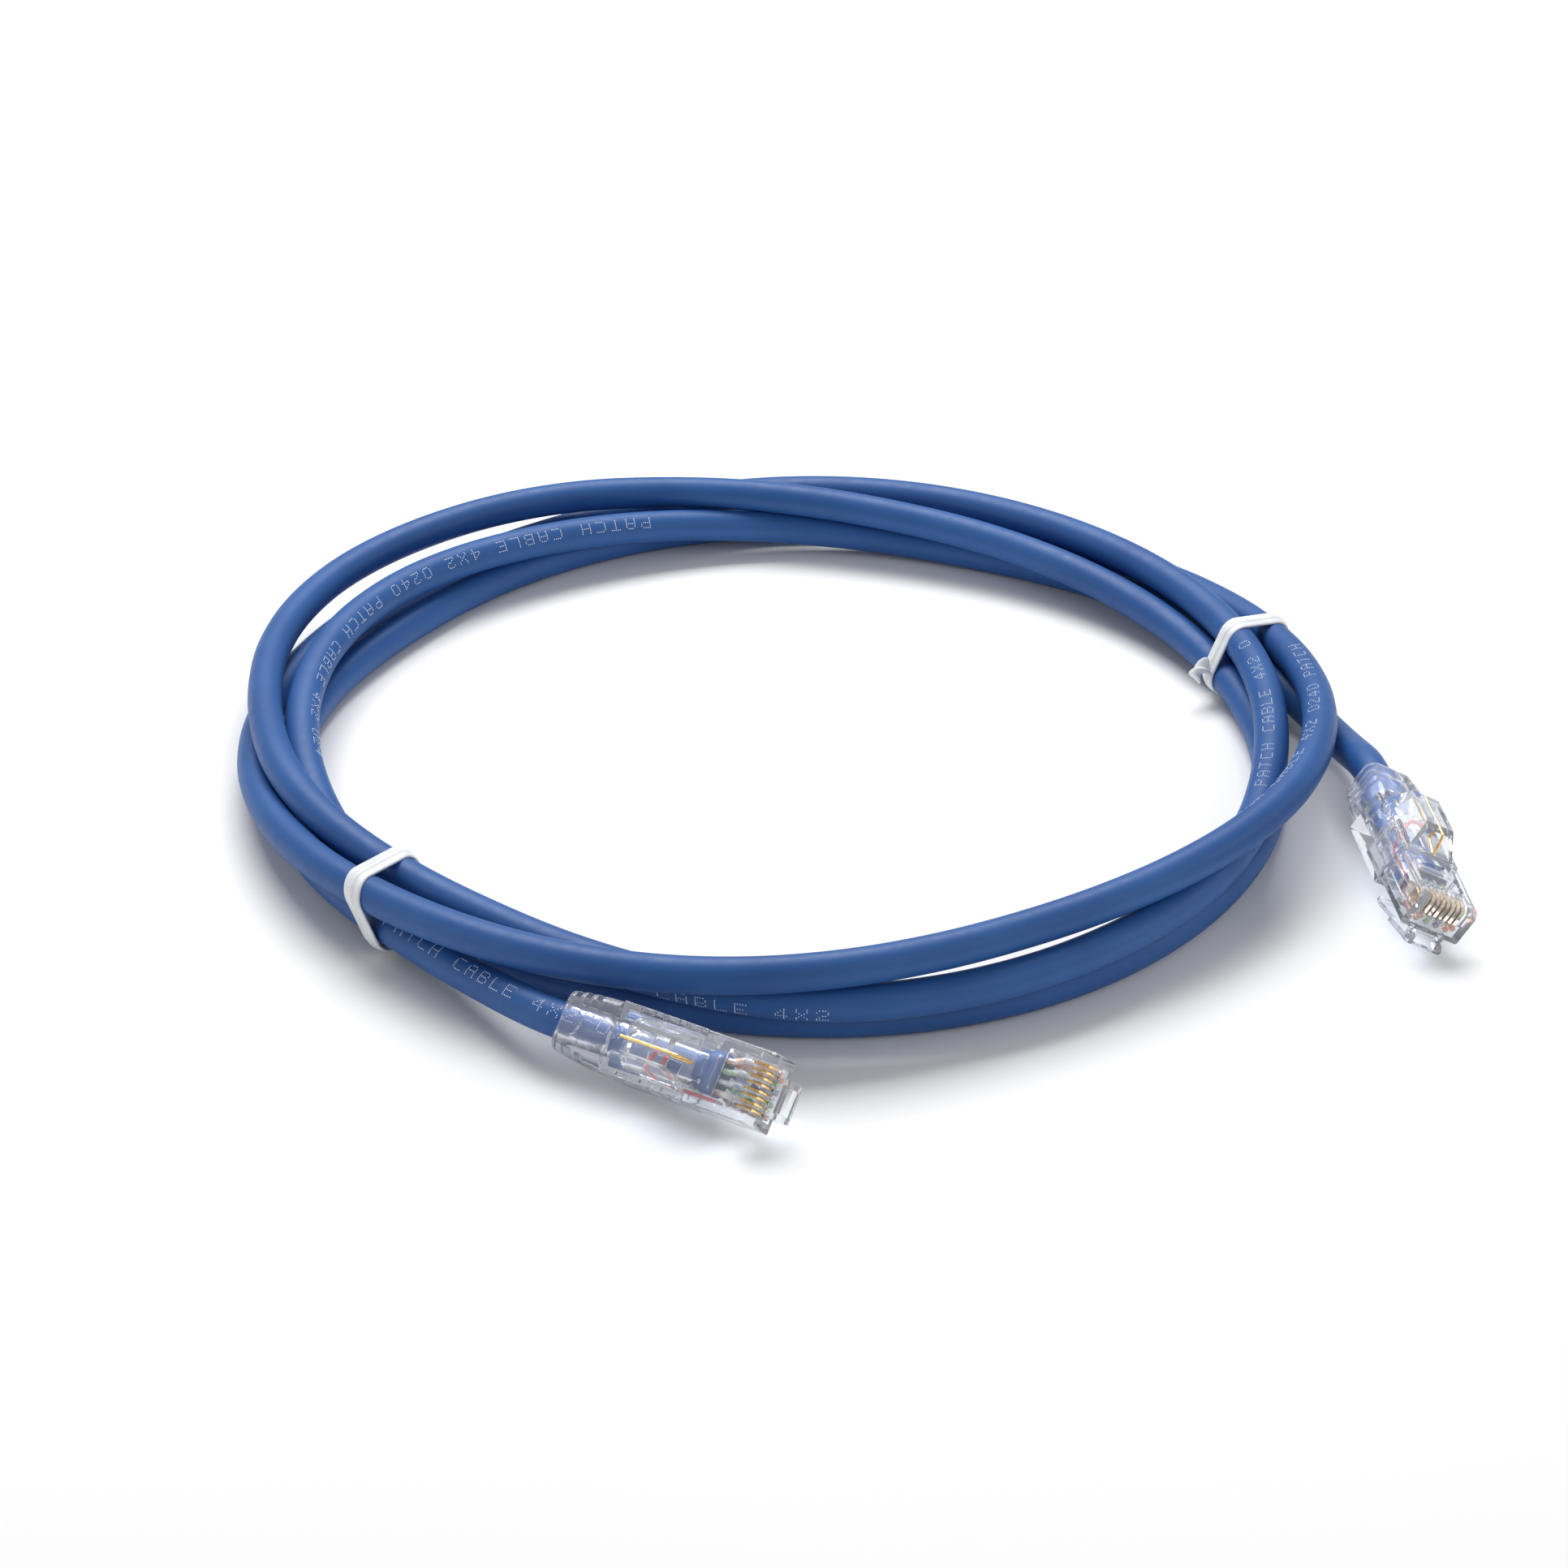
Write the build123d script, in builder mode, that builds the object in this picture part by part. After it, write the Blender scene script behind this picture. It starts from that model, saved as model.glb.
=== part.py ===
from build123d import *
import math
import os

# A 2.1 m patch cable, wound in loose turns and held by two twist ties, with a modular plug on each end.
# Millimetres.  +Z is up, the floor is Z = 0, and the Z axis runs through the middle of the wound turns.

# ---------------------------------------------------------------- driving dimensions
CABLE_D = 6.1
CABLE_R = CABLE_D / 2

# Plug
PLUG_W = 11.68
BODY_HALF = 3.3                 # the body reaches this far to the contact side and to the latch side
FRONT_LEN = 12.3                # nose to the joint with the hood
HOOD_REAR = -27.8
BOOT_REAR = -37.0
PITCH = 1.016
PINS = 8
WIRE_D = 0.95
WIRE_BORE = 0.50
CORE_D = 0.46
ROW_MID = -1.3                  # height of the wire rows, from the plug's axis
ROW_STAGGER = 0.3
JACKET_END = -8.8
PINCH_START = -11.2             # where the jacket has become flat
PINCH_W, PINCH_H, PINCH_MID = 7.0, 4.9, -0.4
BLADE_T = 0.35
SLOT_T = 0.45
BLADE_TOP = 2.75
SPRING_D = 0.5
LATCH_W = 6.5
LATCH_TAIL_W = 3.8
BORE_R = CABLE_R + 0.07

# Twist ties: plan angle in degrees, inner and outer edge of the bundle there, and its top
TIE_W = 3.8
TIE_T = 0.9
TIE_WIRE = 0.4
TIES = {
    "front": (222.0, 79.9, 95.4, 14.6),
    "back": (19.0, 80.5, 97.4, 13.4),
}

# Plugs: middle of the nose, heading of the nose in plan, nose-up pitch, and roll about the cable, in degrees
PLUG_POSES = {
    "a": ((-2.4, -114.4, 7.8), -32.4, 0.6, 45.0),
    "b": ((105.9, -63.3, 7.2), -81.6, -5.6, -29.8),
}

# The wound turns as (plan angle, radius, height of the cable's centre), from the end that leads to plug b
STATIONS = [
    (5, 95, 4), (20, 91, 4), (40, 88, 3.8), (65, 85, 3.2), (90, 84.5, 5), (115, 84.8, 8.3),
    (150, 88, 10.2), (185, 85.3, 9.1), (215, 83, 4.3), (228, 83.3, 3.8),
    (245, 84, 3.3), (290, 88, 3.2), (330, 86.5, 3.2),
    (365, 84.5, 3.4), (430, 82, 9.5), (460, 88.5, 11.4), (480, 97.5, 11), (500, 102, 9.5),
    (515, 100, 9.5), (540, 92, 11), (555, 89.5, 12.3), (590, 83, 10.2), (615, 86.5, 9.4),
    (635, 91, 8.5), (675, 89, 9.2), (705, 85, 9.4), (720, 85, 10.2), (740, 87, 10.2),
    (790, 92, 9.8), (815, 96.5, 7), (835, 97, 4), (860, 95, 3.2), (900, 94, 5.2),
    (945, 92.3, 11.8), (980, 93, 14.5), (1020, 86.5, 14.6), (1060, 92, 15), (1120, 94.6, 5.8),
    (1150, 92.5, 3.3), (1185, 89.5, 3.2), (1225, 85, 3.2), (1250, 87, 3.2), (1275, 88.8, 3.3),
    (1300, 90.4, 4.8), (1320, 93.5, 6.6),
]
TURNS_START, TURNS_END = 20, 1300
LAYER_SPLIT = 9.0               # the lower and the upper layer of the bundle meet here
LAYER_TOP = 16.0

os.makedirs("parts", exist_ok=True)


def save(builder, name):
    builder.part.label = name
    export_step(builder.part, f"parts/{name}.step")


# ---------------------------------------------------------------- frames
def plug_plane(pose):
    """The plug's own frame: X to the nose, Z to the contact side, origin in the middle of the nose."""
    origin, heading, pitch, roll = pose
    heading, pitch, roll = (math.radians(a) for a in (heading, pitch, roll))
    nose = Vector(math.cos(heading) * math.cos(pitch), math.sin(heading) * math.cos(pitch), math.sin(pitch))
    level = Vector(0, 0, 1).cross(nose).normalized()
    above = nose.cross(level)
    contact_side = above * math.cos(roll) - level * math.sin(roll)
    return Plane(origin=origin, x_dir=nose, z_dir=contact_side)


def across(plug, x, y=0.0, z=0.0):
    """A plane square to the plug's axis: local X is the width, local Y the contact side, normal the nose."""
    return Plane(origin=plug.from_local_coords((x, y, z)), x_dir=plug.y_dir, z_dir=plug.x_dir)


def along(plug, y=0.0):
    """A plane down the middle: local X is the nose, local Y the contact side, normal to pin 8's side."""
    return Plane(origin=plug.from_local_coords((0, y, 0)), x_dir=plug.x_dir, z_dir=-plug.y_dir)


def above_plug(plug, z):
    """A plane over the plug, seen from the contact side."""
    return Plane(origin=plug.from_local_coords((0, 0, z)), x_dir=plug.x_dir, z_dir=plug.z_dir)


def plug_points(plug, points):
    return [plug.from_local_coords(point) for point in points]


def block(plug, x0, x1, y0, y1, z0, z1, mode=Mode.ADD):
    """A box in the plug's frame."""
    middle = ((y0 + y1) / 2, (z0 + z1) / 2)
    with BuildSketch(across(plug, x0)) as face:
        with Locations(middle):
            Rectangle(y1 - y0, z1 - z0)
    extrude(face.sketch, amount=x1 - x0, mode=mode)


def route_radii(points):
    """Each corner's arc, as large as its two runs allow."""
    radii = []
    for before, corner, after in zip(points, points[1:], points[2:]):
        run_in = Vector(*corner) - Vector(*before)
        run_out = Vector(*after) - Vector(*corner)
        half_turn = math.radians(run_in.get_angle(run_out) / 2)
        radii.append(0.45 * min(run_in.length, run_out.length) / math.tan(half_turn))
    return radii


def pin_place(pin):
    """Width and height of a pin's wire in the load bar."""
    stagger = ROW_STAGGER if pin % 2 else -ROW_STAGGER
    return PITCH * (4.5 - pin), ROW_MID + stagger


# ---------------------------------------------------------------- the wound turns
def strand(angle):
    """Radius and height of the cable's centre at a plan angle, smooth through the stations."""
    index = max(i for i, station in enumerate(STATIONS[:-1]) if station[0] <= angle)
    index = min(max(index, 1), len(STATIONS) - 3)
    before, here, there, after = STATIONS[index - 1:index + 3]
    span = there[0] - here[0]
    t = (angle - here[0]) / span
    values = []
    for k in (1, 2):
        slope_here = (there[k] - before[k]) / (there[0] - before[0]) * span
        slope_there = (after[k] - here[k]) / (after[0] - here[0]) * span
        value = (2 * t**3 - 3 * t**2 + 1) * here[k] + (t**3 - 2 * t**2 + t) * slope_here
        values.append(value + (3 * t**2 - 2 * t**3) * there[k] + (t**3 - t**2) * slope_there)
    return values


def outline(low, high, reach):
    """Outer and inner edge of the bundle, from the strands whose centre lies between two heights."""
    outer, inner = [], []
    for bearing in range(0, 360, 15):
        strands = [strand(a) for a in range(bearing, TURNS_END + 1, 360) if a >= TURNS_START]
        radii = [radius for radius, height in strands if low <= height <= high]
        turn = math.radians(bearing)
        for edge, radius in ((outer, max(radii) + reach), (inner, min(radii) - reach)):
            edge.append((radius * math.cos(turn), radius * math.sin(turn)))
    return outer, inner


def layer(base, top, outer, inner):
    with BuildSketch(Plane.XY.offset(base)) as ring:
        with BuildLine():
            Spline(*outer, periodic=True)
        make_face()
        with BuildLine():
            Spline(*inner, periodic=True)
        make_face(mode=Mode.SUBTRACT)
    extrude(ring.sketch, amount=top - base)


def tie_plane(bearing):
    """A plane that cuts the bundle: local X runs outwards, local Y is up."""
    turn = math.radians(bearing)
    return Plane(origin=(0, 0, 0), x_dir=(math.cos(turn), math.sin(turn), 0),
                 z_dir=(math.sin(turn), -math.cos(turn), 0))


def tie_loop(tie, inset, width, thickness, mode=Mode.ADD):
    """A closed band round the bundle, its inner face `inset` outside the strands."""
    bearing, r_in, r_out, top = tie
    plane = tie_plane(bearing)
    middle = ((r_in + r_out) / 2, (TIE_T + top) / 2)
    with BuildSketch(plane) as band:
        with Locations(middle):
            RectangleRounded(r_out - r_in + 2 * (inset + thickness), top - TIE_T + 2 * (inset + thickness),
                             4.0 + inset + thickness)
            RectangleRounded(r_out - r_in + 2 * inset, top - TIE_T + 2 * inset, 4.0 + inset,
                             mode=Mode.SUBTRACT)
    extrude(band.sketch, amount=width / 2, both=True, mode=mode)


with BuildPart() as cable_coil:
    layer(0, LAYER_SPLIT, *outline(0, 9.5, CABLE_R))
    layer(LAYER_SPLIT, LAYER_TOP, *outline(7.5, 20, 0.6 * CABLE_R))
    for tie in TIES.values():
        tie_loop(tie, -0.05, TIE_W + 0.2, 8.0, mode=Mode.SUBTRACT)
save(cable_coil, "cable_coil")

for side, tie in TIES.items():
    bearing, r_in, r_out, top = tie
    stub_z = 3.2 if side == "front" else 2.6
    with BuildPart() as tie_ribbon:
        tie_loop(tie, 0.0, TIE_W, TIE_T)
        with BuildSketch(tie_plane(bearing)) as stub:      # the twisted end, folded against the band
            with Locations((r_in - TIE_T - 1.4, stub_z + 3.0)):
                Rectangle(3.0, TIE_T)
        extrude(stub.sketch, amount=TIE_W / 2, both=True)
        tie_loop(tie, 0.23, TIE_WIRE + 0.04, TIE_WIRE + 0.04, mode=Mode.SUBTRACT)
    save(tie_ribbon, f"tie_ribbon_{side}")
    with BuildPart() as tie_wire:
        tie_loop(tie, 0.25, TIE_WIRE, TIE_WIRE)
    save(tie_wire, f"tie_wire_{side}")


# ---------------------------------------------------------------- cable ends
def pinch_sketch(plug, x):
    with BuildSketch(across(plug, x, z=PINCH_MID)) as section:
        RectangleRounded(PINCH_W, PINCH_H, 2.2)
    return section.sketch


def cable_tail(plug, route, name):
    """The end of the cable: a plain tube up to the plug's joint, then pinched flat by the strain relief."""
    radii = route_radii(route)
    print(name, "bend radii", [round(r) for r in radii])
    with BuildPart() as tail:
        with BuildLine():
            centre = FilletPolyline(*route, radius=radii)
        with BuildSketch(Plane(origin=centre @ 0, z_dir=centre % 0)) as section:
            Circle(CABLE_R)
        sweep(section.sketch, path=centre)
        print(name, "volume", round(tail.part.volume), "section x length",
              round(math.pi * CABLE_R**2 * centre.length))
        with BuildSketch(across(plug, -FRONT_LEN - 0.1)) as round_end:
            Circle(CABLE_R)
        loft([round_end.sketch.face(), pinch_sketch(plug, PINCH_START).face()])
        extrude(pinch_sketch(plug, PINCH_START), amount=JACKET_END - PINCH_START)
    save(tail, name)


# Free points between the turns and each boot, then the last few on the plug's axis
FREE_ROUTE = {
    "a": [(-72.8, -52.9, 5.0), (-61.4, -67.2, 5.6), (-49.6, -80.2, 6.3)],
    "b": [(82.4, 36.7, 4.1), (91.0, 19.4, 4.2), (95.8, 4.0, 5.1), (98.4, -9.6, 8.0)],
}
IN_PLUG = [(-43.5, 0, 0.1), (-33.0, 0, 0.15), (-22.5, 0, 0), (-FRONT_LEN - 0.1, 0, 0)]

for end, pose in PLUG_POSES.items():
    plug = plug_plane(pose)
    route = [Vector(*point) for point in FREE_ROUTE[end]] + plug_points(plug, IN_PLUG)
    cable_tail(plug, [tuple(point) for point in route], f"cable_tail_{end}")


# ---------------------------------------------------------------- plug pieces
def plug_housing(plug, name):
    with BuildPart() as housing:
        with BuildSketch(along(plug)) as profile:
            with BuildLine():
                Polyline((-FRONT_LEN, -BODY_HALF), (0, -BODY_HALF), (0, 2.3), (-1.1, BODY_HALF),
                         (-FRONT_LEN, BODY_HALF), close=True)
            make_face()
        extrude(profile.sketch, amount=PLUG_W / 2, both=True)
        fillet(housing.edges().filter_by(Axis((0, 0, 0), tuple(plug.x_dir))), 0.35)
        block(plug, -20.2, -FRONT_LEN, -4.65, 4.65, -3.9, 3.2)
        for side in (-1, 1):                                # ears that carry the latch
            block(plug, -1.6, 0, side * 2.75 - 0.5, side * 2.75 + 0.5, -4.0, -BODY_HALF)
            block(plug, -11.6, -2.6, side * 4.95 - 0.42, side * 4.95 + 0.42, 2.7, 3.4, mode=Mode.SUBTRACT)
            edges = sorted((side * 5.5, side * 6))
            block(plug, -11.2, -2.8, *edges, -0.8, 1.2, mode=Mode.SUBTRACT)             # shallow side panel
        with BuildSketch(across(plug, -20.2)) as bore:
            Circle(BORE_R)
        extrude(bore.sketch, amount=20.2 + PINCH_START, mode=Mode.SUBTRACT)
        block(plug, -FRONT_LEN - 0.2, -8.4, -3.6, 3.6, -2.9, 2.1, mode=Mode.SUBTRACT)   # pinched jacket
        block(plug, -20.3, -7.8, -4.7, -3.5, 0.3, 1.4, mode=Mode.SUBTRACT)              # ninth wire
        block(plug, -20.3, -14.4, -4.7, -3.3, 0.3, 3.3, mode=Mode.SUBTRACT)
        block(plug, -11.0, -9.2, -2.75, 2.75, 2.0, 3.4, mode=Mode.SUBTRACT)             # wedge window
        block(plug, -8.4, -5.6, -4.4, 4.4, -2.7, 1.6, mode=Mode.SUBTRACT)               # fan-out
        block(plug, -5.6, -0.25, -4.35, 4.35, -2.5, -0.2, mode=Mode.SUBTRACT)            # wire rows
        for pin in range(1, PINS + 1):
            y = pin_place(pin)[0]
            block(plug, -3.75, 0.1, y - SLOT_T / 2, y + SLOT_T / 2, -0.3, 3.4, mode=Mode.SUBTRACT)
    save(housing, name)


def latch(plug, name):
    with BuildPart() as lever:
        with BuildSketch(along(plug)) as profile:
            with BuildLine():
                Polyline((-0.9, -4.2), (0.8, -4.2), (1.7, -4.8), (1.6, -5.5), (0.6, -5.8), (-13.2, -8.6),
                         (-14.6, -8.3), (-14.5, -7.6), (-13.2, -7.8), (-0.9, -5.05), close=True)
            make_face()
        extrude(profile.sketch, amount=LATCH_W / 2, both=True)
        block(plug, -0.8, 0.8, -2.1, 2.1, -6.5, -4.0, mode=Mode.SUBTRACT)               # window behind the bar
        for side in (-1, 1):
            edges = sorted((side * LATCH_TAIL_W / 2, side * 4.0))
            block(plug, -16, -6.5, *edges, -10, -5, mode=Mode.SUBTRACT)
    save(lever, name)


def contacts(plug, name):
    with BuildPart() as blades:
        for pin in range(1, PINS + 1):
            y, z = pin_place(pin)
            tip = z + WIRE_BORE / 2 + 0.02
            with BuildSketch(along(plug, y)) as blade:
                with BuildLine():
                    Polyline((-3.6, BLADE_TOP), (-0.95, BLADE_TOP), (-0.5, 2.3), (-0.5, -0.1), (-0.95, -0.1),
                             (-1.25, tip), (-1.55, -0.1), (-2.55, -0.1), (-2.85, tip), (-3.15, -0.1),
                             (-3.6, -0.1), close=True)
                make_face()
            extrude(blade.sketch, amount=BLADE_T / 2, both=True)
    save(blades, name)


def load_bar(plug, name):
    with BuildPart() as bar:
        block(plug, -5.5, -4.0, -4.25, 4.25, -2.45, -0.25)
        with BuildSketch(across(plug, -5.6)) as holes:
            with Locations([pin_place(pin) for pin in range(1, PINS + 1)]):
                Circle(WIRE_D / 2 + 0.04)
        extrude(holes.sketch, amount=2, mode=Mode.SUBTRACT)
    save(bar, name)


def strain_wedge(plug, name):
    with BuildPart() as wedge:
        with BuildSketch(along(plug)) as profile:
            with BuildLine():
                Polyline((-10.9, 2.08), (-9.3, 2.08), (-9.3, 3.2), (-10.9, 2.8), close=True)
            make_face()
        extrude(profile.sketch, amount=2.7, both=True)
    save(wedge, name)


def wire_path(plug, pin):
    """From the jacket's cut end, out to the pin's own place in the load bar, to the nose."""
    y, z = pin_place(pin)
    pair = (pin + 1) // 2
    y_jacket = 1.7 * (2.5 - pair)
    z_jacket = 0.15 if pin % 2 else -1.15
    return plug_points(plug, [(JACKET_END, y_jacket, z_jacket), (-8.0, y_jacket, z_jacket), (-6.4, y, z),
                              (-0.3, y, z)])


def wire_tube(plug, pin, outer, inner):
    path_points = wire_path(plug, pin)
    with BuildLine():
        centre = FilletPolyline(*path_points, radius=0.7)
    with BuildSketch(across(plug, *plug.to_local_coords(path_points[0]))) as section:
        Circle(outer / 2)
        if inner:
            Circle(inner / 2, mode=Mode.SUBTRACT)
    sweep(section.sketch, path=centre)


def wires(plug, end):
    for pin in range(1, PINS + 1):
        with BuildPart() as wire:
            wire_tube(plug, pin, WIRE_D, WIRE_BORE)
        save(wire, f"wire_{pin}_{end}")
    with BuildPart() as cores:
        for pin in range(1, PINS + 1):
            wire_tube(plug, pin, CORE_D, 0)
    save(cores, f"wire_cores_{end}")


def roof_section(plug, x, base_half, top_half, base, top, length, mode):
    with BuildSketch(across(plug, x)) as section:
        with BuildLine():
            Polyline((-base_half, base), (base_half, base), (top_half, top), (-top_half, top), close=True)
        make_face()
    extrude(section.sketch, amount=length, mode=mode)


def sensor_hood(plug, name):
    front = -FRONT_LEN - 0.15
    with BuildPart() as hood:
        roof_section(plug, -26.5, 4.7, 2.8, 3.4, 7.9, 13.9, Mode.ADD)
        with BuildSketch(along(plug)) as side_view:
            with BuildLine():
                Polyline((-26.5, 3.3), (-24.4, 8), (-15.7, 8), (-12.6, 3.3), close=True)
            make_face()
        extrude(side_view.sketch, amount=6, both=True, mode=Mode.INTERSECT)
        block(plug, HOOD_REAR, front, -PLUG_W / 2, PLUG_W / 2, -4.7, 3.5)
        block(plug, -20.4, front + 0.1, -4.75, 4.75, -4.0, 3.3, mode=Mode.SUBTRACT)
        roof_section(plug, -23.5, 3.9, 2.1, 3.8, 6.9, 12, Mode.SUBTRACT)
        block(plug, -25.8, front, -0.32, 0.32, 7.3, 8.1, mode=Mode.SUBTRACT)             # spring groove
        block(plug, -20.3, -14.5, -4.5, -0.5, 3.2, 4.0, mode=Mode.SUBTRACT)              # wire hatch
        with BuildSketch(across(plug, HOOD_REAR - 0.1)) as bore:
            Circle(CABLE_R + 0.15)
        extrude(bore.sketch, amount=8, mode=Mode.SUBTRACT)
        for side in (-1, 1):
            for x in (-15.2, -19.2, -23.6):
                block(plug, x - 1.2, x + 1.2, side * 5.25 - 0.3, side * 5.25 + 0.3, 2.6, 3.6,
                      mode=Mode.SUBTRACT)
                edges = sorted((side * 5.4, side * 6))
                block(plug, x - 1.2, x + 1.2, *edges, -1.2, 1.6, mode=Mode.SUBTRACT)    # side window
    save(hood, name)


def sensor_contact(plug, name):
    points = plug_points(plug, [(-24.0, 0, 7.6), (-13.4, 0, 7.6), (-12.1, 0, 4.15), (-16.3, 0, 4.9),
                                (-16.0, 0, 6.3)])
    with BuildPart() as spring:
        with BuildLine():
            centre = FilletPolyline(*points, radius=0.45)
        with BuildSketch(across(plug, -24.0, z=7.6)) as section:
            Circle(SPRING_D / 2)
        sweep(section.sketch, path=centre)
    save(spring, name)


def sensor_wire(plug, name):
    points = plug_points(plug, [(-8.0, -4.1, 0.85), (-15.0, -4.1, 0.85), (-17.3, -3.95, 2.9),
                                (-19.3, -2.5, 5.0), (-18.0, -0.4, 5.6)])
    with BuildPart() as wire:
        with BuildLine():
            centre = FilletPolyline(*points, radius=0.8)
        with BuildSketch(Plane(origin=centre @ 0, z_dir=centre % 0)) as section:
            Circle(0.3)
        sweep(section.sketch, path=centre)
    save(wire, name)


def boot(plug, name):
    with BuildPart() as sleeve:
        sections = ((HOOD_REAR - 0.05, 11.3, 9.0, 1.8), (-33.0, 10.8, 8.8, 1.8), (BOOT_REAR, 9.8, 8.3, 2.0))
        for x, width, height, corner in sections:
            with BuildSketch(across(plug, x)):
                RectangleRounded(width, height, corner)
        loft()
        with BuildSketch(across(plug, BOOT_REAR - 0.1)) as bore:
            Circle(CABLE_R + 0.25)
        extrude(bore.sketch, amount=10, mode=Mode.SUBTRACT)
        for side in (-1, 1):                                # three rib slots on each side
            for rank, x in enumerate((-35.6, -33.7, -31.8)):
                reach = 3.85 + 0.25 * rank
                edges = sorted((side * reach, side * 6))
                block(plug, x - 0.55, x + 0.55, *edges, -2.7, 6.0, mode=Mode.SUBTRACT)
        with BuildSketch(above_plug(plug, 3.4)) as crescent:
            with BuildLine():
                rear = ThreePointArc((-34.4, -2.0), (-33.5, 0), (-34.4, 2.0))
                front = ThreePointArc((-34.4, 2.0), (-32.9, 0), (-34.4, -2.0))
            make_face()
        extrude(crescent.sketch, amount=2, mode=Mode.SUBTRACT)
    save(sleeve, name)


for end, pose in PLUG_POSES.items():
    plug = plug_plane(pose)
    plug_housing(plug, f"plug_housing_{end}")
    latch(plug, f"latch_{end}")
    contacts(plug, f"contacts_{end}")
    load_bar(plug, f"load_bar_{end}")
    strain_wedge(plug, f"strain_wedge_{end}")
    wires(plug, end)
    sensor_hood(plug, f"sensor_hood_{end}")
    sensor_contact(plug, f"sensor_contact_{end}")
    sensor_wire(plug, f"sensor_wire_{end}")
    boot(plug, f"boot_{end}")
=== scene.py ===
import bisect
import math

import bmesh
import bpy
from mathutils import Matrix, Vector
from mathutils.geometry import convex_hull_2d


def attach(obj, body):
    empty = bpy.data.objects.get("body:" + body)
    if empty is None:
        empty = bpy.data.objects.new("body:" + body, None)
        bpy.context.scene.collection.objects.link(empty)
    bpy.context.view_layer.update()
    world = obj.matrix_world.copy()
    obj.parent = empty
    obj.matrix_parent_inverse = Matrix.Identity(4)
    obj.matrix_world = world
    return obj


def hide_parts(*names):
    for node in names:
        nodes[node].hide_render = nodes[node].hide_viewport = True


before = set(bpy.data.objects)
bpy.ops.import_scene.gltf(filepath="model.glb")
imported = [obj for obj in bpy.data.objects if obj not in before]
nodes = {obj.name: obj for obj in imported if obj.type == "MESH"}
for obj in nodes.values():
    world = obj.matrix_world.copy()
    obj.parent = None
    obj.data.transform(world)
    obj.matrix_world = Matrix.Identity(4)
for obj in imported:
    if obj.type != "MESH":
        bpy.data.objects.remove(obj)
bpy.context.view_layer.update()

scene = bpy.context.scene

# The wound patch cable's looks.  Sizes are in millimetres, as in the design, and MM turns them into metres.
MM = 0.001

# ---------------------------------------------------------------- driving dimensions
CABLE_D = 6.1
CABLE_R = CABLE_D / 2
FRONT_LEN = 12.3                # nose to the joint with the hood
JACKET_END = -8.8               # the jacket's cut end, inside the plug
PINCH_START = -11.2
PINCH_W, PINCH_H, PINCH_MID = 7.0, 4.9, -0.4
JACKET_WALL = 0.6

PLUG_POSES = {                  # middle of the nose, heading, nose-up pitch, and roll about the cable
    "a": ((-2.4, -114.4, 7.8), -32.4, 0.6, 45.0),
    "b": ((105.9, -63.3, 7.2), -81.6, -5.6, -29.8),
}
PINS = 8

# The wound turns as (plan angle, radius, height of the cable's centre), from the end that leads to plug b
STATIONS = [
    (5, 95, 4), (20, 91, 4), (40, 88, 3.8), (65, 85, 3.2), (90, 84.5, 5), (115, 84.8, 8.3),
    (150, 88, 10.2), (185, 85.3, 9.1), (215, 83, 4.3), (228, 83.3, 3.8),
    (245, 84, 3.3), (290, 88, 3.2), (330, 86.5, 3.2),
    (365, 84.5, 3.4), (430, 82, 9.5), (460, 88.5, 11.4), (480, 97.5, 11), (500, 102, 9.5),
    (515, 100, 9.5), (540, 92, 11), (555, 89.5, 12.3), (590, 83, 10.2), (615, 86.5, 9.4),
    (635, 91, 8.5), (675, 89, 9.2), (705, 85, 9.4), (720, 85, 10.2), (740, 87, 10.2),
    (790, 92, 9.8), (815, 96.5, 7), (835, 97, 4), (860, 95, 3.2), (900, 94, 5.2),
    (945, 92.3, 11.8), (980, 93, 14.5), (1020, 86.5, 14.6), (1060, 92, 15), (1120, 94.6, 5.8),
    (1150, 92.5, 3.3), (1185, 89.5, 3.2), (1225, 85, 3.2), (1250, 87, 3.2), (1275, 88.8, 3.3),
    (1300, 90.4, 4.8), (1320, 93.5, 6.6),
]
FIRST_TURN_POINT, LAST_TURN_POINT, TURN_STEP = 35, 1285, 10

# Free points between the turns and each boot, then the last few on the plug's axis
FREE_ROUTE = {
    "a": [(-72.8, -52.9, 5.0), (-61.4, -67.2, 5.6), (-49.6, -80.2, 6.3)],
    "b": [(82.4, 36.7, 4.1), (91.0, 19.4, 4.2), (95.8, 4.0, 5.1), (98.4, -9.6, 8.0)],
}
IN_PLUG = [(-43.5, 0, 0.1), (-33.0, 0, 0.15), (-22.5, 0, 0), (-FRONT_LEN - 0.1, 0, 0)]

# Twist ties: ribbon width and thickness, and the plan angle of each tie
TIE_W, TIE_T = 3.8, 0.68
TIES = {"front": 222.0, "back": 19.0}
BUNDLE_R, BUNDLE_Z = 88, 8      # roughly the middle of the bundle where the ties hold it


# ---------------------------------------------------------------- frames
def plug_frame(pose):
    """Plug millimetres to metres: X to the nose, Z to the contact side, origin in the middle of the nose."""
    origin, heading, pitch, roll = pose
    heading, pitch, roll = (math.radians(a) for a in (heading, pitch, roll))
    nose = Vector((math.cos(heading) * math.cos(pitch), math.sin(heading) * math.cos(pitch), math.sin(pitch)))
    level = Vector((0, 0, 1)).cross(nose).normalized()
    contact_side = nose.cross(level) * math.cos(roll) - level * math.sin(roll)
    turned = Matrix((nose, contact_side.cross(nose), contact_side)).transposed().to_4x4()
    return Matrix.Translation(Vector(origin) * MM) @ turned @ Matrix.Scale(MM, 4)


PLUGS = {end: plug_frame(pose) for end, pose in PLUG_POSES.items()}


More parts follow.
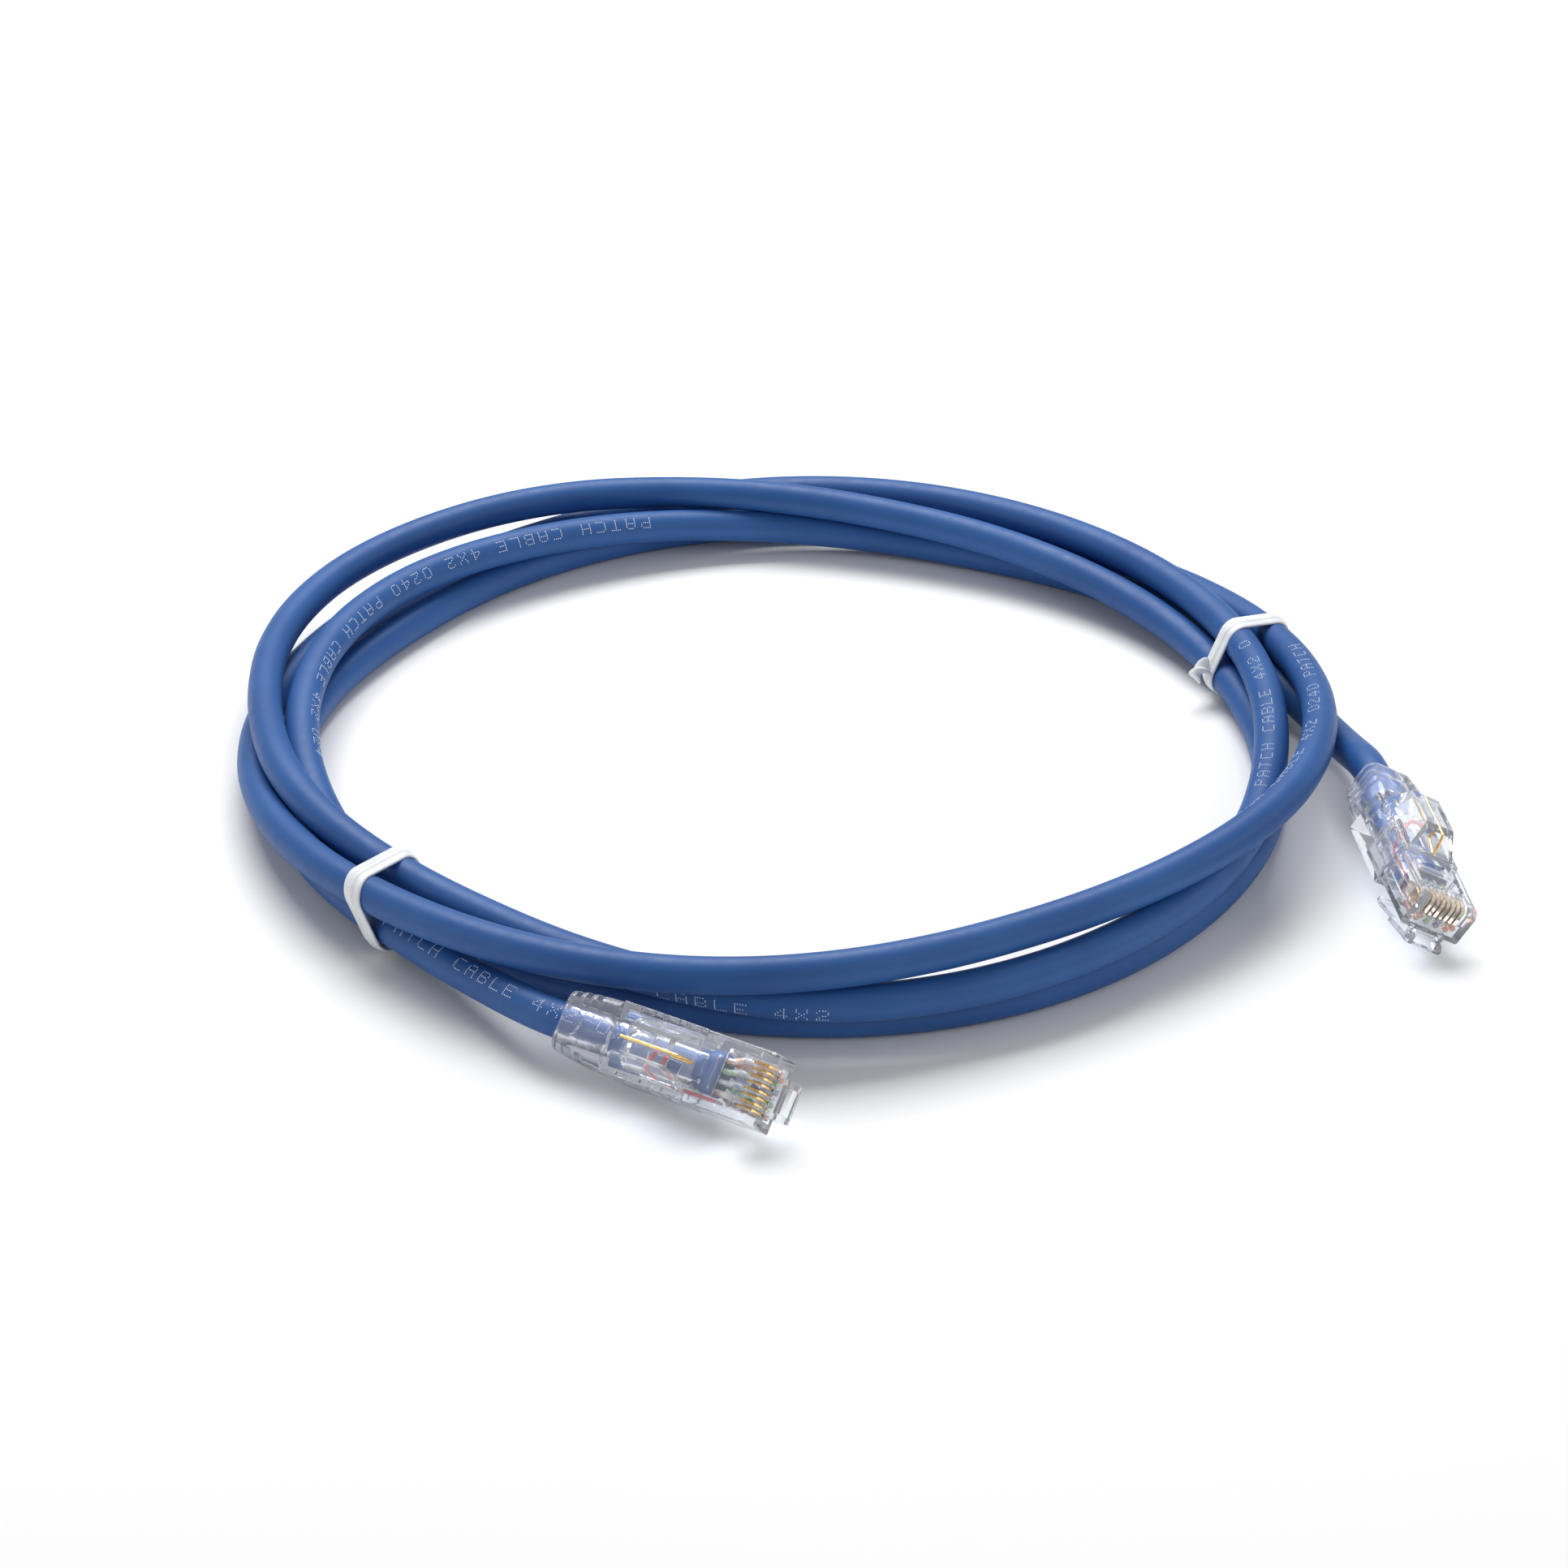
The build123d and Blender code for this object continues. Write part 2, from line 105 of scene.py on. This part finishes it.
def add_mesh(name, verts, faces, material, smooth=True):
    mesh = bpy.data.meshes.new(name)
    mesh.from_pydata([tuple(v) for v in verts], [], faces)
    mesh.validate()
    work = bmesh.new()
    work.from_mesh(mesh)
    bmesh.ops.recalc_face_normals(work, faces=work.faces)
    work.to_mesh(mesh)
    work.free()
    piece = bpy.data.objects.new(name, mesh)
    scene.collection.objects.link(piece)
    mesh.materials.append(material)
    mesh.polygons.foreach_set("use_smooth", [smooth] * len(mesh.polygons))
    return piece


def skin(rings, closed=False, capped=True):
    """Vertices and faces of a tube through rings that all have the same number of points."""
    count = len(rings[0])
    verts = [point for ring in rings for point in ring]
    faces = []
    spans = len(rings) if closed else len(rings) - 1
    for i in range(spans):
        here, there = i * count, (i + 1) % len(rings) * count
        for k in range(count):
            faces.append((here + k, here + (k + 1) % count, there + (k + 1) % count, there + k))
    if capped and not closed:
        faces.append(tuple(reversed(range(count))))
        faces.append(tuple(range(len(verts) - count, len(verts))))
    return verts, faces


# ---------------------------------------------------------------- materials
def principled(name, **sockets):
    material = bpy.data.materials.new(name)
    material.use_nodes = True
    shader = material.node_tree.nodes["Principled BSDF"]
    for socket, value in sockets.items():
        shader.inputs[socket.replace("_", " ")].default_value = value
    return material


def add_node(material, kind, settings=None, **values):
    node = material.node_tree.nodes.new(kind)
    for key, value in (settings or {}).items():
        setattr(node, key, value)
    for socket, value in values.items():
        node.inputs[socket.replace("_", " ")].default_value = value
    return node


def join(material, source, output, target, socket):
    material.node_tree.links.new(source.outputs[output], target.inputs[socket])


def noise(material, scale, detail=2.0, stretch=None, frame_of=None):
    """A noise texture in the object's own metres, or stretched in a plug's frame."""
    place = add_node(material, "ShaderNodeTexCoord")
    texture = add_node(material, "ShaderNodeTexNoise", Scale=scale, Detail=detail)
    if stretch is None:
        join(material, place, "Object", texture, "Vector")
        return texture
    mapping = add_node(material, "ShaderNodeMapping", {"vector_type": "TEXTURE"})
    mapping.inputs["Rotation"].default_value = frame_of.to_euler()
    mapping.inputs["Scale"].default_value = stretch
    join(material, place, "Object", mapping, "Vector")
    join(material, mapping, "Vector", texture, "Vector")
    return texture


def ramp(material, source, stops, output=0):
    node = add_node(material, "ShaderNodeValToRGB")
    elements = node.color_ramp.elements
    while len(elements) < len(stops):
        elements.new(0.5)
    for element, (place, colour) in zip(elements, stops):
        element.position = place
        element.color = (*colour, 1) if len(colour) == 3 else colour
    material.node_tree.links.new(source.outputs[output], node.inputs[0])
    return node


def grey(value):
    return (value, value, value)


def shader_of(material):
    return material.node_tree.nodes["Principled BSDF"]


def vary_roughness(material, scale, low, high, detail=3.0):
    spread = ramp(material, noise(material, scale, detail), [(0.3, grey(low)), (0.7, grey(high))])
    join(material, spread, "Color", shader_of(material), "Roughness")


def add_bump(material, scale, distance, strength=0.3, detail=4.0):
    bump = add_node(material, "ShaderNodeBump", Strength=strength, Distance=distance)
    join(material, noise(material, scale, detail), "Fac", bump, "Height")
    join(material, bump, "Normal", shader_of(material), "Normal")


def vary_colour(material, scale, colours, detail=3.0, low=0.35, high=0.65, **place):
    stops = [(low + (high - low) * i / (len(colours) - 1), colour) for i, colour in enumerate(colours)]
    spread = ramp(material, noise(material, scale, detail, **place), stops)
    join(material, spread, "Color", shader_of(material), "Base Color")
    return spread


def let_lamps_through(material):
    """Clear plastic lets the lamps light what is inside it."""
    tree = material.node_tree
    paths = add_node(material, "ShaderNodeLightPath")
    open_to_light = add_node(material, "ShaderNodeBsdfTransparent", Color=(0.9, 0.92, 0.95, 1))
    choice = add_node(material, "ShaderNodeMixShader")
    join(material, paths, "Is Shadow Ray", choice, "Fac")
    tree.links.new(shader_of(material).outputs["BSDF"], choice.inputs[1])
    tree.links.new(open_to_light.outputs["BSDF"], choice.inputs[2])
    tree.links.new(choice.outputs["Shader"], tree.nodes["Material Output"].inputs["Surface"])


# Sockets of a colour Mix node
MIX_SHARE, MIX_UNDER, MIX_OVER, MIX_RESULT = 0, 6, 7, 2
DUST = (0.45, 0.52, 0.62, 1)


def jacket_material():
    """Soft satin PVC: slow changes of blue, a fine grain, and a few pale specks of dust."""
    material = principled("jacket_blue", Specular_IOR_Level=0.35)
    blues = vary_colour(material, 45, [(0.018, 0.084, 0.280), (0.024, 0.104, 0.325)])
    cells = add_node(material, "ShaderNodeTexVoronoi", Scale=260)
    place = add_node(material, "ShaderNodeTexCoord")
    join(material, place, "Object", cells, "Vector")
    small = ramp(material, cells, [(0.045, grey(1)), (0.075, grey(0))], "Distance")
    chosen = ramp(material, cells, [(0.93, grey(0)), (0.95, grey(0.55))], "Color")
    speck = add_node(material, "ShaderNodeMath", {"operation": "MULTIPLY"})
    join(material, small, "Color", speck, 0)
    join(material, chosen, "Color", speck, 1)
    mixed = add_node(material, "ShaderNodeMix", {"data_type": "RGBA"})
    mixed.inputs[MIX_OVER].default_value = DUST
    join(material, speck, 0, mixed, MIX_SHARE)
    join(material, blues, "Color", mixed, MIX_UNDER)
    join(material, mixed, MIX_RESULT, shader_of(material), "Base Color")
    vary_roughness(material, 500, 0.44, 0.54)
    add_bump(material, 2600, 0.00002, 0.25)
    return material


def clear_material(name, tint, low, high, weight):
    material = principled(name, Base_Color=(*tint, 1), Transmission_Weight=weight, IOR=1.42)
    vary_roughness(material, 900, low, high)
    add_bump(material, 500, 0.00002, 0.08)
    let_lamps_through(material)
    return material


def metal_material(name, colours, low, high):
    material = principled(name, Metallic=1.0)
    vary_colour(material, 900, colours)
    vary_roughness(material, 2500, low, high)
    add_bump(material, 6000, 0.00001, 0.2)
    return material


def wire_material(name, end, colours):
    """Insulation, solid or white with stripes along the wire."""
    material = principled(f"{name}_{end}", Roughness=0.35, Coat_Weight=0.2, Coat_Roughness=0.2)
    vary_colour(material, 900, colours, low=0.44, high=0.56, stretch=(6, 1, 1), frame_of=PLUGS[end].to_3x3())
    add_bump(material, 5000, 0.00001, 0.15)
    return material


def tie_material():
    material = principled("tie_white")
    vary_colour(material, 300, [(0.72, 0.74, 0.77), (0.82, 0.84, 0.86)])
    vary_roughness(material, 900, 0.34, 0.5)
    add_bump(material, 1500, 0.00003, 0.25)
    return material


def ink_material():
    material = principled("print_ink", Roughness=0.7)
    vary_colour(material, 1200, [(0.80, 0.84, 0.88), (0.95, 0.96, 0.97)])
    return material


WHITE = (0.86, 0.85, 0.82)
WIRE_COLOURS = {
    1: [WHITE, (0.85, 0.33, 0.16)],
    2: [(0.72, 0.20, 0.06), (0.86, 0.30, 0.10)],
    3: [WHITE, (0.22, 0.62, 0.22)],
    4: [(0.05, 0.12, 0.35), (0.09, 0.18, 0.45)],
    5: [WHITE, (0.18, 0.30, 0.60)],
    6: [(0.06, 0.40, 0.08), (0.12, 0.55, 0.14)],
    7: [WHITE, (0.40, 0.22, 0.14)],
    8: [(0.22, 0.08, 0.04), (0.34, 0.14, 0.07)],
}
JACKET = jacket_material()
CLEAR = clear_material("clear_plastic", (0.97, 0.98, 1.0), 0.02, 0.06, 0.93)
FROSTED = clear_material("boot_frosted", (0.86, 0.88, 0.94), 0.05, 0.11, 0.9)
GOLD = metal_material("gold_contact", [(0.90, 0.56, 0.18), (1.0, 0.72, 0.32)], 0.18, 0.30)
COPPER = metal_material("copper_core", [(0.72, 0.36, 0.20), (0.88, 0.50, 0.32)], 0.25, 0.40)
STEEL = metal_material("tie_steel", [(0.42, 0.43, 0.45), (0.60, 0.60, 0.62)], 0.25, 0.45)
TIE_PLASTIC = tie_material()
INK = ink_material()


# ---------------------------------------------------------------- the cable: one cord from plug to plug
def strand(angle):
    """Radius and height of the cable's centre at a plan angle, smooth through the stations."""
    index = max(i for i, station in enumerate(STATIONS[:-1]) if station[0] <= angle)
    index = min(max(index, 1), len(STATIONS) - 3)
    before, here, there, after = STATIONS[index - 1:index + 3]
    span = there[0] - here[0]
    t = (angle - here[0]) / span
    values = []
    for k in (1, 2):
        slope_here = (there[k] - before[k]) / (there[0] - before[0]) * span
        slope_there = (after[k] - here[k]) / (after[0] - here[0]) * span
        value = (2 * t**3 - 3 * t**2 + 1) * here[k] + (t**3 - 2 * t**2 + t) * slope_here
        values.append(value + (3 * t**2 - 2 * t**3) * there[k] + (t**3 - t**2) * slope_there)
    return values


def cable_route():
    """Control points from plug b, round the turns, to plug a."""
    points = [PLUGS["b"] @ Vector(point) for point in reversed(IN_PLUG)]
    points += [Vector(point) * MM for point in reversed(FREE_ROUTE["b"])]
    outside_curve = math.cos(math.radians(TURN_STEP / 2))      # the spline cuts inside its control points
    for angle in range(FIRST_TURN_POINT, LAST_TURN_POINT + 1, TURN_STEP):
        radius, height = strand(angle)
        turn = math.radians(angle)
        reach = radius / outside_curve
        points.append(Vector((reach * math.cos(turn), reach * math.sin(turn), height)) * MM)
    points += [Vector(point) * MM for point in FREE_ROUTE["a"]]
    return points + [PLUGS["a"] @ Vector(point) for point in IN_PLUG]


def nurbs_cord(name, points, diameter, material):
    curve = bpy.data.curves.new(name, "CURVE")
    curve.dimensions = "3D"
    curve.resolution_u = 8
    curve.bevel_depth = diameter / 2
    curve.bevel_resolution = 8
    curve.use_fill_caps = True
    spline = curve.splines.new("NURBS")
    spline.points.add(len(points) - 1)
    for control, point in zip(spline.points, points):
        control.co = (*point, 1)
    spline.order_u = 3
    spline.use_endpoint_u = True
    curve.materials.append(material)
    cord = bpy.data.objects.new(name, curve)
    scene.collection.objects.link(cord)
    return cord


def centreline(cord):
    """Points along a cord's spline, read from the curve with no thickness."""
    thin = cord.copy()
    thin.data = cord.data.copy()
    thin.data.bevel_depth = 0
    line = bpy.data.meshes.new_from_object(thin)
    points = [vertex.co.copy() for vertex in line.vertices]
    bpy.data.meshes.remove(line)
    spare = thin.data
    bpy.data.objects.remove(thin)
    bpy.data.curves.remove(spare)
    return points


route = cable_route()
cable = nurbs_cord("cable", list(reversed(route)), CABLE_D * MM, JACKET)
cable_line = list(reversed(centreline(cable)))          # from plug b to plug a
travel = [0.0]
for start, end in zip(cable_line, cable_line[1:]):
    travel.append(travel[-1] + (end - start).length)
print("cable length", round(travel[-1], 4))

FAR_PLUG = ["plug_housing_b", "latch_b", "contacts_b", "load_bar_b", "strain_wedge_b", "wire_cores_b",
            "sensor_hood_b", "sensor_contact_b", "sensor_wire_b", "boot_b"]
FAR_PLUG += [f"wire_{pin}_b" for pin in range(1, PINS + 1)]


# ---------------------------------------------------------------- the pinched jacket ends inside the plugs
def rounded(width, height, middle, x, corner=2.2, per_corner=8):
    """A ring of points round a rounded rectangle across the plug's axis."""
    ring = []
    corner = min(corner, width / 2, height / 2)
    for quarter in range(4):
        side = -1 if quarter in (1, 2) else 1
        above = -1 if quarter in (2, 3) else 1
        for k in range(per_corner):
            turn = math.radians(90 * quarter + 90 * k / (per_corner - 1))
            ring.append((x, side * (width / 2 - corner) + corner * math.cos(turn),
                         middle + above * (height / 2 - corner) + corner * math.sin(turn)))
    return ring


def jacket_end(end):
    """The jacket turns from round to flat under the strain relief, and its cut end shows its wall."""
    sections = [(-FRONT_LEN - 0.15, CABLE_D, CABLE_D, 0, CABLE_R), (-12.0, 6.2, 5.9, -0.1, 2.9),
                (PINCH_START, PINCH_W, PINCH_H, PINCH_MID, 2.2), (-10.4, 7.0, 4.7, PINCH_MID, 2.1),
                (-9.6, 7.0, 4.9, PINCH_MID, 2.2), (JACKET_END, 6.9, 4.85, PINCH_MID, 2.2)]
    rings = [rounded(w, h, middle, x, corner) for x, w, h, middle, corner in sections]
    inner_w, inner_h = 6.9 - 2 * JACKET_WALL, 4.85 - 2 * JACKET_WALL
    rings.append(rounded(inner_w, inner_h, PINCH_MID, JACKET_END, 1.6))
    rings.append(rounded(inner_w, inner_h, PINCH_MID, JACKET_END - 1.0, 1.6))
    verts, faces = skin([[PLUGS[end] @ Vector(p) for p in ring] for ring in rings])
    return add_mesh(f"jacket_end_{end}", verts, faces, JACKET)


jacket_ends = {end: jacket_end(end) for end in PLUGS}


# ---------------------------------------------------------------- twist ties
RIM_POINTS = 48                 # round each strand, to find the outline that a tie is drawn over
BAND_POINTS = 120               # round each tie
LAST_BEARING = LAST_TURN_POINT + 40     # the cable leaves the bundle here, on its way to plug a
OFF_THE_FLOOR = 0.02


def hull_path(bearing):
    """A closed path round the bundle at a plan angle, touching the strands, evenly spaced: (radius, height)."""
    rims = []
    for angle in range(int(bearing), LAST_BEARING, 360):
        radius, height = strand(angle)
        for k in range(RIM_POINTS):
            turn = 2 * math.pi * k / RIM_POINTS
            rims.append((radius + CABLE_R * math.cos(turn), height + CABLE_R * math.sin(turn)))
    corners = [Vector(rims[i]) for i in convex_hull_2d(rims)]
    corners.append(corners[0])
    spans = [(q - p).length for p, q in zip(corners, corners[1:])]
    total = sum(spans)
    path, index, passed = [], 0, 0.0
    for k in range(BAND_POINTS):
        want = total * k / BAND_POINTS
        while passed + spans[index] < want:
            passed += spans[index]
            index += 1
        path.append(corners[index].lerp(corners[index + 1], (want - passed) / spans[index]))
    return path


# The ribbon's section, in half widths and thicknesses: two thin edges and a raised middle over the steel core
RIBBON = [(-1.0, 0.0), (-1.0, 0.42), (-0.9, 0.62), (-0.5, 0.72), (-0.3, 0.78), (-0.24, 0.98), (0.0, 1.0),
          (0.24, 0.98), (0.3, 0.78), (0.5, 0.72), (0.9, 0.62), (1.0, 0.42), (1.0, 0.0)]
# How far the band leans along the cable, per mm outwards from the middle turn and per mm down from its height
TIE_LEAN = {"front": (0.25, 0.3), "back": (0.22, -0.05)}


def tie_place(side, radius, height, along=0.0):
    """A point of a tie's own slanted plane."""
    turn = math.radians(TIES[side])
    outwards = Vector((math.cos(turn), math.sin(turn), 0))
    forwards = Vector((-math.sin(turn), math.cos(turn), 0))
    return (outwards * radius + Vector((0, 0, height)) + forwards * along) * MM


def tie_lean(side, radius, height):
    across_slope, down_slope = TIE_LEAN[side]
    return across_slope * (radius - BUNDLE_R) + down_slope * (BUNDLE_Z - height)


def tie_band(side):
    path = hull_path(TIES[side])
    count = len(path)
    rings = []
    centre = [tie_place(side, r, max(z, OFF_THE_FLOOR), tie_lean(side, r, z)) for r, z in path]
    middle = tie_place(side, BUNDLE_R, BUNDLE_Z)
    forwards = tie_place(side, 0, 0, 1 / MM)
    for i, point in enumerate(centre):
        tangent = (centre[(i + 1) % count] - centre[i - 1]).normalized()
        width = (forwards - tangent * forwards.dot(tangent)).normalized()
        outer = width.cross(tangent)
        if outer.dot(point - middle) < 0:
            outer = -outer
        rings.append([point + width * (w * TIE_W / 2 * MM) + outer * (t * TIE_T * MM) for w, t in RIBBON])
    verts, faces = skin(rings, closed=True)
    return add_mesh(f"tie_band_{side}", verts, faces, TIE_PLASTIC)


tie_bands = {side: tie_band(side) for side in TIES}


# The back tie's two ends are twisted together, inside the ring: radius, height and place along the cable
TWIST_ROUTE = [(80.6, 6.4, -1.4), (79.3, 6.1, -2.2), (78.2, 5.9, -3.0), (77.0, 5.8, -3.6)]
TWIST_STEPS, TWIST_TURNS = 40, 0.7
TWIST_TAPER = 0.25              # share of its width that it loses towards its tip
# Two ribbons back to back, in half widths and thicknesses
TWIST_SECTION = [(-1.0, -0.42), (-0.5, -0.7), (0.0, -0.45), (0.5, -0.7), (1.0, -0.42),
                 (1.0, 0.42), (0.5, 0.7), (0.0, 0.45), (-0.5, 0.7), (-1.0, 0.42)]


def tie_twist():
    corners = [tie_place("back", *point) for point in TWIST_ROUTE]
    rings = []
    for step in range(TWIST_STEPS + 1):
        share = step / TWIST_STEPS
        place = share * (len(corners) - 1)
        index = min(int(place), len(corners) - 2)
        point = corners[index].lerp(corners[index + 1], place - index)
        tangent = (corners[index + 1] - corners[index]).normalized()
        above = (Vector((0, 0, 1)) - tangent * tangent.z).normalized()
        across = tangent.cross(above)
        turn = 2 * math.pi * TWIST_TURNS * share
        wide = above * math.cos(turn) + across * math.sin(turn)
        thick = across * math.cos(turn) - above * math.sin(turn)
        half = TIE_W / 2 * (1 - TWIST_TAPER * share)
        rings.append([point + (wide * w * half + thick * t * TIE_T) * MM for w, t in TWIST_SECTION])
    verts, faces = skin(rings)
    return add_mesh("tie_twist_back", verts, faces, TIE_PLASTIC)


back_twist = tie_twist()


# ---------------------------------------------------------------- dot-matrix print on the jacket
GLYPHS = {
    "P": "11110 10001 10001 11110 10000 10000 10000", "A": "01110 10001 10001 11111 10001 10001 10001",
    "T": "11111 00100 00100 00100 00100 00100 00100", "C": "01111 10000 10000 10000 10000 10000 01111",
    "H": "10001 10001 10001 11111 10001 10001 10001", "B": "11110 10001 10001 11110 10001 10001 11110",
    "L": "10000 10000 10000 10000 10000 10000 11111", "E": "11111 10000 10000 11110 10000 10000 11111",
    "4": "00010 00110 01010 10010 11111 00010 00010", "X": "10001 10001 01010 00100 01010 10001 10001",
    "2": "01110 10001 00001 00110 01000 10000 11111", "0": "01110 10001 10001 10001 10001 10001 01110",
    " ": "00000 00000 00000 00000 00000 00000 00000",
}
PRINT_TEXT = "PATCH CABLE 4X2 0240 "
# A dot's radius at its foot, and how far its top and its foot are from the jacket's surface
DOT_R, DOT_UP, DOT_DOWN = 0.115, 0.02, 0.05
DOT_SIDES, DOT_TOP = 6, 0.75    # its top is this share of its foot's radius
COLUMN_PITCH, ROW_PITCH, LETTER_PITCH = 0.42, 0.33, 3.1
# Where the print shows: the plan angle where each run starts and ends, and the roll about the cable there, 0 at
# the top and more towards the outside of the ring
PRINT_RUNS = [(108, 192, -48, -58), (604, 636, 108, 100), (700, 736, -8, -24), (1043, 1095, -62, -4),
              (1305, 1338, 30, 30)]


def line_angles():
    """Plan angle of each point of the centreline, counted on from plug b."""
    angles = []
    for point in cable_line:
        angle = math.degrees(math.atan2(point.y, point.x))
        if angles:
            angle += 360 * round((angles[-1] - angle) / 360)
        angles.append(angle)
    return angles


def line_at(distance):
    index = min(max(bisect.bisect(travel, distance) - 1, 0), len(cable_line) - 2)
    start, end = cable_line[index], cable_line[index + 1]
    step = travel[index + 1] - travel[index]
    return start.lerp(end, (distance - travel[index]) / step), (end - start).normalized()


def print_dot(distance, roll, verts, faces):
    point, tangent = line_at(distance)
    above = (Vector((0, 0, 1)) - tangent * tangent.z).normalized()
    outwards = tangent.cross(above)
    normal = above * math.cos(roll) + outwards * math.sin(roll)
    side = normal.cross(tangent)
    first = len(verts)
    for lift, radius in ((-DOT_DOWN, DOT_R), (DOT_UP, DOT_R * DOT_TOP)):
        middle = point + normal * (CABLE_R + lift) * MM
        for k in range(DOT_SIDES):
            turn = 2 * math.pi * k / DOT_SIDES
            verts.append(middle + (tangent * math.cos(turn) + side * math.sin(turn)) * radius * MM)
    top = first + DOT_SIDES
    for k in range(DOT_SIDES):
        following = (k + 1) % DOT_SIDES
        faces.append((first + k, first + following, top + following, top + k))
    faces.append(tuple(top + k for k in range(DOT_SIDES)))
    faces.append(tuple(first + k for k in reversed(range(DOT_SIDES))))


def jacket_print():
    verts, faces = [], []
    angles = line_angles()
    for start, end, roll_start, roll_end in PRINT_RUNS:
        begin = travel[next(i for i, a in enumerate(angles) if a >= start)]
        finish = travel[next((i for i, a in enumerate(angles) if a >= end), len(angles) - 1)]
        letters = int((finish - begin) / MM / LETTER_PITCH)
        for place in range(letters):
            share = place / max(letters - 1, 1)
            roll = math.radians(roll_start + (roll_end - roll_start) * share)
            rows = GLYPHS[PRINT_TEXT[place % len(PRINT_TEXT)]].split()
            for rank, row in enumerate(rows):
                lifted = (3 - rank) * ROW_PITCH / CABLE_R
                for column, mark in enumerate(row):
                    if mark == "1":
                        distance = begin + (place * LETTER_PITCH + column * COLUMN_PITCH) * MM
                        print_dot(distance, roll - lifted, verts, faces)
    return add_mesh("jacket_print", verts, faces, INK, smooth=False)


marks = jacket_print()


# ---------------------------------------------------------------- finish of the CAD nodes
def give(node, material):
    nodes[node].data.materials.clear()
    nodes[node].data.materials.append(material)


EDGE_ROUND = {"plug_housing": 0.09, "sensor_hood": 0.09, "boot": 0.12}
SHARP = 28                      # degrees: only edges that turn by more than this are rounded
WELD = 2e-6


def soften(node, width):
    """Moulded edges: a small round on every sharp edge."""
    weld = nodes[node].modifiers.new("weld", "WELD")
    weld.merge_threshold = WELD
    bevel = nodes[node].modifiers.new("edges", "BEVEL")
    bevel.width = width * MM
    bevel.segments = 2
    bevel.limit_method = "ANGLE"
    bevel.angle_limit = math.radians(SHARP)
    bevel.use_clamp_overlap = True


for end in PLUGS:
    for name in ("plug_housing", "latch", "load_bar", "strain_wedge", "sensor_hood"):
        give(f"{name}_{end}", CLEAR)
    give(f"boot_{end}", FROSTED)
    for name, width in EDGE_ROUND.items():
        soften(f"{name}_{end}", width)
    for name in ("contacts", "sensor_contact"):
        give(f"{name}_{end}", GOLD)
    give(f"wire_cores_{end}", COPPER)
    for pin in range(1, PINS + 1):
        give(f"wire_{pin}_{end}", wire_material(f"wire_{pin}", end, WIRE_COLOURS[pin]))
    give(f"sensor_wire_{end}", wire_material("wire_red", end, [(0.42, 0.03, 0.04), (0.55, 0.06, 0.07)]))
for side in TIES:
    give(f"tie_wire_{side}", STEEL)

# ---------------------------------------------------------------- what each new piece is
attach(cable, "cable")
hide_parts("cable_coil", "cable_tail_a", "cable_tail_b")
for end, piece in jacket_ends.items():
    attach(piece, "cable")
for side, piece in tie_bands.items():
    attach(piece, "cable")
    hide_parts(f"tie_ribbon_{side}", f"tie_wire_{side}")
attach(back_twist, "cable")
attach(marks, "cable")


# ---------------------------------------------------------------- floor, lights and camera
FLOOR_HALF = 2.5


def stage_floor():
    half = FLOOR_HALF
    corners = [(-half, -half, 0), (half, -half, 0), (half, half, 0), (-half, half, 0)]
    material = principled("floor", Roughness=0.9, Specular_IOR_Level=0.1)
    vary_colour(material, 2, [(0.88, 0.88, 0.88), (0.9, 0.9, 0.9)])
    floor = add_mesh("floor", corners, [(0, 1, 2, 3)], material, smooth=False)


def area_light(name, place, aim, size, power):
    light = bpy.data.lights.new(name, "AREA")
    light.shape = "RECTANGLE"
    light.size, light.size_y = size
    light.energy = power
    lamp = bpy.data.objects.new(name, light)
    scene.collection.objects.link(lamp)
    lamp.location = place
    lamp.rotation_euler = (Vector(aim) - Vector(place)).to_track_quat("-Z", "Y").to_euler()


stage_floor()
area_light("key", (-0.1, 0.5, 0.8), (0, 0, 0), (0.8, 0.5), 10.5)
area_light("fill", (0.6, -0.7, 0.6), (0, 0, 0), (0.6, 0.6), 1.4)
area_light("left_strip", (-0.7, -0.25, 0.25), (0, -0.05, 0), (0.5, 0.2), 0.6)
area_light("right_strip", (0.7, -0.05, 0.25), (0, -0.05, 0), (0.5, 0.2), 0.6)
world = bpy.data.worlds.new("studio")
world.use_nodes = True
world.node_tree.nodes["Background"].inputs["Color"].default_value = (1, 1, 1, 1)
world.node_tree.nodes["Background"].inputs["Strength"].default_value = 0.34
scene.world = world
scene.view_settings.view_transform = "Standard"

camera = bpy.data.cameras.new("camera")
camera.lens = 88.2
camera.sensor_width = 36
camera.clip_start = 0.01
camera.clip_end = 20
viewer = bpy.data.objects.new("camera", camera)
viewer.location = (-0.0007, -0.5934, 0.3385)
viewer.rotation_euler = (math.radians(60), 0, 0)
scene.collection.objects.link(viewer)
scene.camera = viewer
